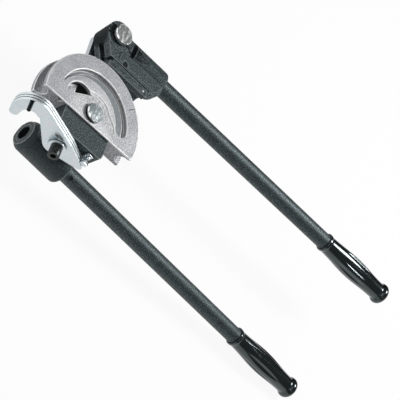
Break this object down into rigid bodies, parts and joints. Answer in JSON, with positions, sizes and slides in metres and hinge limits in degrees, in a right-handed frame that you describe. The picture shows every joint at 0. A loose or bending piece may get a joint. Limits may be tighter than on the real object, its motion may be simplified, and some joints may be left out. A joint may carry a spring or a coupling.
{
  "type": "tube bender",
  "caption": "Hand lever tube bender: grooved former on a fixed handle, swinging hook that holds the tube, and a link-mounted moving handle whose shoe wraps the tube round the former.",
  "frame": {"origin": "the bend centre: the former's axis on the plane of the tube's centre line", "axes": "+Z along the former's axis to its front face, +X along the handles towards the grips, +Y towards the moving handle"},
  "size_m": [0.7284, 0.234, 0.1576],
  "materials": {
    "cast_aluminium": "sand-cast and tumbled",
    "hammer_paint": "dark textured hammer paint",
    "black_grip": "glossy moulded",
    "zinc_plate": "bright zinc plate",
    "black_oxide": "black oxide"
  },
  "bodies": {
    "frame": {"former": "cast_aluminium", "fixed_arm": "hammer_paint", "fixed_handle_tube": "hammer_paint", "fixed_grip": "black_grip", "fixed_handle_pin": "black_oxide", "former_dowels": "black_oxide", "centre_bolt": "zinc_plate", "centre_bush": "zinc_plate", "centre_washer": "zinc_plate", "centre_nut": "zinc_plate", "hook_screw": "black_oxide", "hook_washer": "zinc_plate", "hook_spacer": "zinc_plate", "hook_stop": "zinc_plate", "hook_stop_screw": "zinc_plate"},
    "hook": {"hook_front_plate": "zinc_plate", "hook_middle_plate": "zinc_plate", "hook_back_plate": "zinc_plate", "hook_bush": "zinc_plate", "hook_finger_pin": "black_oxide"},
    "link": {"link_plate": "zinc_plate", "pivot_bolt": "zinc_plate", "pivot_nut": "zinc_plate"},
    "moving_arm": {"moving_head": "hammer_paint", "pivot_bush": "zinc_plate", "moving_handle_tube": "hammer_paint", "moving_grip": "black_grip", "moving_handle_pin": "black_oxide", "shoe": "hammer_paint", "shoe_pin": "black_oxide", "shoe_screw": "zinc_plate"}
  },
  "joints": [
    {"name": "bend_swing", "type": "hinge", "parent": "frame", "child": "link", "pos_m": [0, 0, 0], "axis": [0, 0, 1], "range_deg": [-90, 90]},
    {"name": "handle_pivot", "type": "hinge", "parent": "link", "child": "moving_arm", "pos_m": [-0.0076, 0.1335, 0], "axis": [0, 0, 1], "range_deg": [0, 75]},
    {"name": "hook_swing", "type": "hinge", "parent": "frame", "child": "hook", "pos_m": [-0.018, -0.055, -0.008], "axis": [0, 1, 0], "range_deg": [0, 30]}
  ]
}
